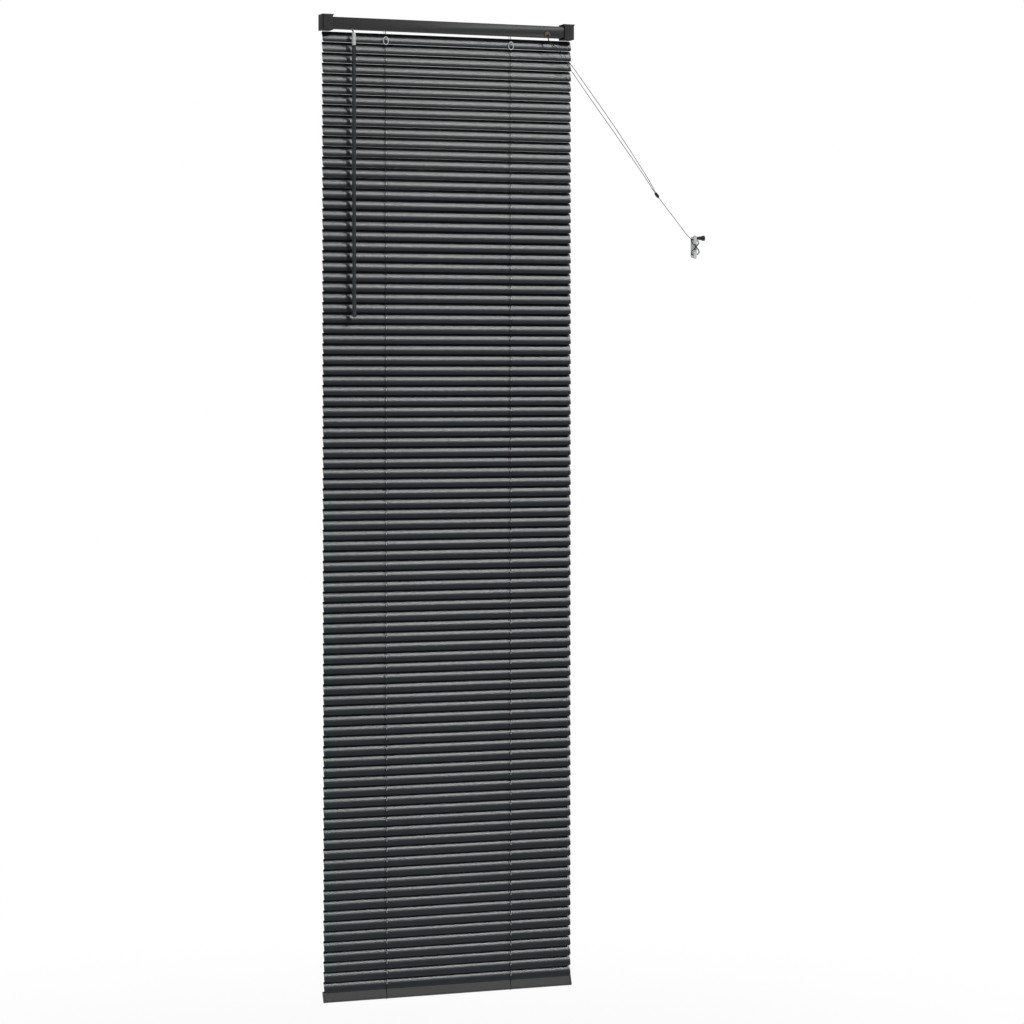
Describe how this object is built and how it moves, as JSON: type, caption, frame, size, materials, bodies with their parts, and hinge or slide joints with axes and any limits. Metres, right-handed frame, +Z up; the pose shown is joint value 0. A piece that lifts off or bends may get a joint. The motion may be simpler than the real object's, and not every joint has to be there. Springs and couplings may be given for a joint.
{
  "type": "venetian blind",
  "caption": "Wall-hung venetian blind with dark metal slats that tilt by a hanging wand, and a bottom rail that lifts on cords led to a wall cleat.",
  "frame": {"origin": "middle of the four wall screw holes of the brackets, on the wall face, at mid height of the headrail", "axes": "+X to the right as seen from the room, +Y into the wall, +Z up"},
  "size_m": [0.936, 0.041, 2.2003],
  "materials": {
    "body": "satin baked enamel",
    "cap": "satin moulded plastic",
    "slat": "semi-gloss baked enamel on aluminium",
    "steel": "drawn, zinc plated",
    "nylon": "matte moulded",
    "clear": "clear moulded",
    "smoke": "smoky clear, drawn",
    "brass": "polished",
    "cord": "braided polyester",
    "bead": "satin moulded"
  },
  "bodies": {
    "headrail": {"headrail": "body", "headrail_caps": "cap", "bracket_left": "body", "bracket_right": "body", "tilter_housing": "nylon", "cradles": "nylon", "cord_lock": "nylon", "cord_outlet": "brass", "ladders": "cord", "lift_cords": "cord", "lower_slats": "slat", "cleat": "clear", "pull_cords": "cord", "cord_joiner": "bead", "cleat_cord": "cord", "tassel": "bead"},
    "gate_left": {"gate_left": "body"},
    "gate_right": {"gate_right": "body"},
    "tilt_shaft": {"tilt_rod": "steel", "tilt_gear": "nylon", "drums": "nylon"},
    "worm": {"worm": "steel"},
    "wand_coupler": {"wand_coupler": "clear"},
    "wand": {"wand": "smoke", "wand_tip": "smoke"},
    "lock_roller": {"lock_roller": "brass"},
    "bottom_rail": {"bottom_rail": "body", "rail_caps": "cap", "cord_buttons": "cap"},
    "slat_01": {"slat_01": "slat"},
    "slat_02": {"slat_02": "slat"},
    "slat_03": {"slat_03": "slat"},
    "slat_04": {"slat_04": "slat"},
    "slat_05": {"slat_05": "slat"},
    "slat_06": {"slat_06": "slat"},
    "slat_07": {"slat_07": "slat"},
    "slat_08": {"slat_08": "slat"},
    "slat_09": {"slat_09": "slat"},
    "slat_10": {"slat_10": "slat"},
    "slat_11": {"slat_11": "slat"},
    "slat_12": {"slat_12": "slat"},
    "slat_13": {"slat_13": "slat"},
    "slat_14": {"slat_14": "slat"},
    "slat_15": {"slat_15": "slat"},
    "slat_16": {"slat_16": "slat"},
    "slat_17": {"slat_17": "slat"},
    "slat_18": {"slat_18": "slat"},
    "slat_19": {"slat_19": "slat"},
    "slat_20": {"slat_20": "slat"},
    "slat_21": {"slat_21": "slat"},
    "slat_22": {"slat_22": "slat"},
    "slat_23": {"slat_23": "slat"},
    "slat_24": {"slat_24": "slat"},
    "slat_25": {"slat_25": "slat"},
    "slat_26": {"slat_26": "slat"},
    "slat_27": {"slat_27": "slat"},
    "slat_28": {"slat_28": "slat"},
    "slat_29": {"slat_29": "slat"},
    "slat_30": {"slat_30": "slat"}
  },
  "joints": [
    {"name": "gate_left_hinge", "type": "hinge", "parent": "headrail", "child": "gate_left", "pos_m": [-0.2875, -0.0324, 0.0167], "axis": [-1, 0, 0], "range_deg": [0, 100]},
    {"name": "gate_right_hinge", "type": "hinge", "parent": "headrail", "child": "gate_right", "pos_m": [0.2875, -0.0324, 0.0167], "axis": [-1, 0, 0], "range_deg": [0, 100]},
    {"name": "tilt", "type": "hinge", "parent": "headrail", "child": "tilt_shaft", "pos_m": [0, -0.0175, 0.004], "axis": [-1, 0, 0], "range_deg": [0, 128], "deforming": ["ladders"]},
    {"name": "worm_spin", "type": "hinge", "parent": "headrail", "child": "worm", "pos_m": [-0.229, -0.036, -0.0245], "axis": [0, -0.7071, -0.7071], "range_deg": [0, 1280]},
    {"name": "wand_swing", "type": "hinge", "parent": "headrail", "child": "wand_coupler", "pos_m": [-0.229, -0.036, -0.0245], "axis": [-1, 0, 0], "range_deg": [0, 60]},
    {"name": "wand_spin", "type": "hinge", "parent": "wand_coupler", "child": "wand", "pos_m": [-0.229, -0.036, -0.04], "axis": [0, 0, -1], "range_deg": [0, 1280]},
    {"name": "lock_roller_slide", "type": "slide", "parent": "headrail", "child": "lock_roller", "axis": [0, 0, 1], "range_m": [0, 0.003]},
    {"name": "lift", "type": "slide", "parent": "headrail", "child": "bottom_rail", "axis": [0, 0, 1], "range_m": [0, 1.33], "deforming": ["lower_slats", "ladders", "lift_cords"]},
    {"name": "slat_01_tilt", "type": "hinge", "parent": "headrail", "child": "slat_01", "pos_m": [0, -0.0175, -0.03], "axis": [-1, 0, 0], "range_deg": [0, 128]},
    {"name": "slat_02_tilt", "type": "hinge", "parent": "headrail", "child": "slat_02", "pos_m": [0, -0.0175, -0.053], "axis": [-1, 0, 0], "range_deg": [0, 128]},
    {"name": "slat_03_tilt", "type": "hinge", "parent": "headrail", "child": "slat_03", "pos_m": [0, -0.0175, -0.076], "axis": [-1, 0, 0], "range_deg": [0, 128]},
    {"name": "slat_04_tilt", "type": "hinge", "parent": "headrail", "child": "slat_04", "pos_m": [0, -0.0175, -0.099], "axis": [-1, 0, 0], "range_deg": [0, 128]},
    {"name": "slat_05_tilt", "type": "hinge", "parent": "headrail", "child": "slat_05", "pos_m": [0, -0.0175, -0.122], "axis": [-1, 0, 0], "range_deg": [0, 128]},
    {"name": "slat_06_tilt", "type": "hinge", "parent": "headrail", "child": "slat_06", "pos_m": [0, -0.0175, -0.145], "axis": [-1, 0, 0], "range_deg": [0, 128]},
    {"name": "slat_07_tilt", "type": "hinge", "parent": "headrail", "child": "slat_07", "pos_m": [0, -0.0175, -0.168], "axis": [-1, 0, 0], "range_deg": [0, 128]},
    {"name": "slat_08_tilt", "type": "hinge", "parent": "headrail", "child": "slat_08", "pos_m": [0, -0.0175, -0.191], "axis": [-1, 0, 0], "range_deg": [0, 128]},
    {"name": "slat_09_tilt", "type": "hinge", "parent": "headrail", "child": "slat_09", "pos_m": [0, -0.0175, -0.214], "axis": [-1, 0, 0], "range_deg": [0, 128]},
    {"name": "slat_10_tilt", "type": "hinge", "parent": "headrail", "child": "slat_10", "pos_m": [0, -0.0175, -0.237], "axis": [-1, 0, 0], "range_deg": [0, 128]},
    {"name": "slat_11_tilt", "type": "hinge", "parent": "headrail", "child": "slat_11", "pos_m": [0, -0.0175, -0.26], "axis": [-1, 0, 0], "range_deg": [0, 128]},
    {"name": "slat_12_tilt", "type": "hinge", "parent": "headrail", "child": "slat_12", "pos_m": [0, -0.0175, -0.283], "axis": [-1, 0, 0], "range_deg": [0, 128]},
    {"name": "slat_13_tilt", "type": "hinge", "parent": "headrail", "child": "slat_13", "pos_m": [0, -0.0175, -0.306], "axis": [-1, 0, 0], "range_deg": [0, 128]},
    {"name": "slat_14_tilt", "type": "hinge", "parent": "headrail", "child": "slat_14", "pos_m": [0, -0.0175, -0.329], "axis": [-1, 0, 0], "range_deg": [0, 128]},
    {"name": "slat_15_tilt", "type": "hinge", "parent": "headrail", "child": "slat_15", "pos_m": [0, -0.0175, -0.352], "axis": [-1, 0, 0], "range_deg": [0, 128]},
    {"name": "slat_16_tilt", "type": "hinge", "parent": "headrail", "child": "slat_16", "pos_m": [0, -0.0175, -0.375], "axis": [-1, 0, 0], "range_deg": [0, 128]},
    {"name": "slat_17_tilt", "type": "hinge", "parent": "headrail", "child": "slat_17", "pos_m": [0, -0.0175, -0.398], "axis": [-1, 0, 0], "range_deg": [0, 128]},
    {"name": "slat_18_tilt", "type": "hinge", "parent": "headrail", "child": "slat_18", "pos_m": [0, -0.0175, -0.421], "axis": [-1, 0, 0], "range_deg": [0, 128]},
    {"name": "slat_19_tilt", "type": "hinge", "parent": "headrail", "child": "slat_19", "pos_m": [0, -0.0175, -0.444], "axis": [-1, 0, 0], "range_deg": [0, 128]},
    {"name": "slat_20_tilt", "type": "hinge", "parent": "headrail", "child": "slat_20", "pos_m": [0, -0.0175, -0.467], "axis": [-1, 0, 0], "range_deg": [0, 128]},
    {"name": "slat_21_tilt", "type": "hinge", "parent": "headrail", "child": "slat_21", "pos_m": [0, -0.0175, -0.49], "axis": [-1, 0, 0], "range_deg": [0, 128]},
    {"name": "slat_22_tilt", "type": "hinge", "parent": "headrail", "child": "slat_22", "pos_m": [0, -0.0175, -0.513], "axis": [-1, 0, 0], "range_deg": [0, 128]},
    {"name": "slat_23_tilt", "type": "hinge", "parent": "headrail", "child": "slat_23", "pos_m": [0, -0.0175, -0.536], "axis": [-1, 0, 0], "range_deg": [0, 128]},
    {"name": "slat_24_tilt", "type": "hinge", "parent": "headrail", "child": "slat_24", "pos_m": [0, -0.0175, -0.559], "axis": [-1, 0, 0], "range_deg": [0, 128]},
    {"name": "slat_25_tilt", "type": "hinge", "parent": "headrail", "child": "slat_25", "pos_m": [0, -0.0175, -0.582], "axis": [-1, 0, 0], "range_deg": [0, 128]},
    {"name": "slat_26_tilt", "type": "hinge", "parent": "headrail", "child": "slat_26", "pos_m": [0, -0.0175, -0.605], "axis": [-1, 0, 0], "range_deg": [0, 128]},
    {"name": "slat_27_tilt", "type": "hinge", "parent": "headrail", "child": "slat_27", "pos_m": [0, -0.0175, -0.628], "axis": [-1, 0, 0], "range_deg": [0, 128]},
    {"name": "slat_28_tilt", "type": "hinge", "parent": "headrail", "child": "slat_28", "pos_m": [0, -0.0175, -0.651], "axis": [-1, 0, 0], "range_deg": [0, 128]},
    {"name": "slat_29_tilt", "type": "hinge", "parent": "headrail", "child": "slat_29", "pos_m": [0, -0.0175, -0.674], "axis": [-1, 0, 0], "range_deg": [0, 128]},
    {"name": "slat_30_tilt", "type": "hinge", "parent": "headrail", "child": "slat_30", "pos_m": [0, -0.0175, -0.697], "axis": [-1, 0, 0], "range_deg": [0, 128]}
  ],
  "couplings": [
    {"joint": "worm_spin", "follows": "tilt", "ratio": 10},
    {"joint": "wand_spin", "follows": "tilt", "ratio": 10},
    {"joint": "slat_01_tilt", "follows": "tilt", "ratio": 1},
    {"joint": "slat_02_tilt", "follows": "tilt", "ratio": 1},
    {"joint": "slat_03_tilt", "follows": "tilt", "ratio": 1},
    {"joint": "slat_04_tilt", "follows": "tilt", "ratio": 1},
    {"joint": "slat_05_tilt", "follows": "tilt", "ratio": 1},
    {"joint": "slat_06_tilt", "follows": "tilt", "ratio": 1},
    {"joint": "slat_07_tilt", "follows": "tilt", "ratio": 1},
    {"joint": "slat_08_tilt", "follows": "tilt", "ratio": 1},
    {"joint": "slat_09_tilt", "follows": "tilt", "ratio": 1},
    {"joint": "slat_10_tilt", "follows": "tilt", "ratio": 1},
    {"joint": "slat_11_tilt", "follows": "tilt", "ratio": 1},
    {"joint": "slat_12_tilt", "follows": "tilt", "ratio": 1},
    {"joint": "slat_13_tilt", "follows": "tilt", "ratio": 1},
    {"joint": "slat_14_tilt", "follows": "tilt", "ratio": 1},
    {"joint": "slat_15_tilt", "follows": "tilt", "ratio": 1},
    {"joint": "slat_16_tilt", "follows": "tilt", "ratio": 1},
    {"joint": "slat_17_tilt", "follows": "tilt", "ratio": 1},
    {"joint": "slat_18_tilt", "follows": "tilt", "ratio": 1},
    {"joint": "slat_19_tilt", "follows": "tilt", "ratio": 1},
    {"joint": "slat_20_tilt", "follows": "tilt", "ratio": 1},
    {"joint": "slat_21_tilt", "follows": "tilt", "ratio": 1},
    {"joint": "slat_22_tilt", "follows": "tilt", "ratio": 1},
    {"joint": "slat_23_tilt", "follows": "tilt", "ratio": 1},
    {"joint": "slat_24_tilt", "follows": "tilt", "ratio": 1},
    {"joint": "slat_25_tilt", "follows": "tilt", "ratio": 1},
    {"joint": "slat_26_tilt", "follows": "tilt", "ratio": 1},
    {"joint": "slat_27_tilt", "follows": "tilt", "ratio": 1},
    {"joint": "slat_28_tilt", "follows": "tilt", "ratio": 1},
    {"joint": "slat_29_tilt", "follows": "tilt", "ratio": 1},
    {"joint": "slat_30_tilt", "follows": "tilt", "ratio": 1}
  ]
}
